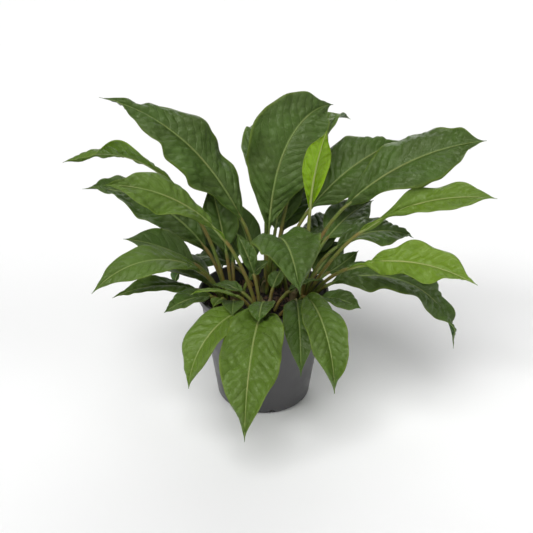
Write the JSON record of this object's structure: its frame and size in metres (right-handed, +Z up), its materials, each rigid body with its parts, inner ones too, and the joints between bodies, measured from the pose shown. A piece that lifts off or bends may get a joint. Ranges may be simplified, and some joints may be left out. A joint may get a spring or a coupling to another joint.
{
  "type": "potted foliage anthurium",
  "caption": "Foliage anthurium with long glossy green leaves arching from short crowns, growing in soil in a round dark plastic nursery pot",
  "frame": {"origin": "centre of the pot's flat underside", "axes": "+Z up, along the pot's axis; +X along the plant's widest spread; -Y towards the side that the front leaves hang over"},
  "size_m": [0.6398, 0.5594, 0.4841],
  "materials": {
    "pot": "satin moulded dark grey plastic",
    "soil": "rough crumbly potting mix",
    "crown": "rough fibrous stem",
    "leaf": "glossy waxy leaf with paler veins"
  },
  "bodies": {
    "root": {"pot": "pot", "soil": "soil", "crown_left": "crown", "crown_back": "crown", "crown_right": "crown", "crown_front": "crown", "leaf_top_left": "leaf", "leaf_left_arched": "leaf", "leaf_left_glossy": "leaf", "leaf_left_dark": "leaf", "leaf_left_short": "leaf", "leaf_left_twisted": "leaf", "leaf_low_left_back": "leaf", "leaf_low_left_middle": "leaf", "leaf_low_left_front": "leaf", "leaf_inner_left": "leaf", "leaf_upright": "leaf", "leaf_behind_upright": "leaf", "leaf_young": "leaf", "leaf_dark_upright": "leaf", "leaf_right_large": "leaf", "leaf_right_back": "leaf", "leaf_right_middle": "leaf", "leaf_right_low_back": "leaf", "leaf_right_olive": "leaf", "leaf_right_bright": "leaf", "leaf_right_drooping": "leaf", "leaf_right_under": "leaf", "leaf_right_curled": "leaf", "leaf_front_centre": "leaf", "leaf_front_hanging": "leaf", "leaf_front_left_hanging": "leaf", "leaf_front_small": "leaf", "leaf_front_right_short": "leaf", "leaf_front_right_hanging": "leaf", "leaf_narrow_crossing": "leaf", "leaf_back_tall": "leaf", "leaf_back_wide": "leaf", "leaf_back_hanging": "leaf", "leaf_back_left": "leaf", "leaf_back_left_hanging": "leaf", "leaf_back_right": "leaf", "leaf_back_right_hanging": "leaf", "leaf_inner_right": "leaf", "leaf_inner_back": "leaf", "leaf_low_left_inner": "leaf", "leaf_left_small": "leaf", "leaf_centre_narrow": "leaf", "leaf_inner_left_back": "leaf", "leaf_inner_back_left": "leaf", "leaf_inner_left_low": "leaf", "leaf_inner_right_low": "leaf", "leaf_front_inner_left": "leaf", "leaf_left_core": "leaf", "leaf_front_core": "leaf", "leaf_front_inner_right": "leaf", "leaf_left_brim": "leaf", "leaf_right_brim": "leaf"}
  },
  "joints": []
}
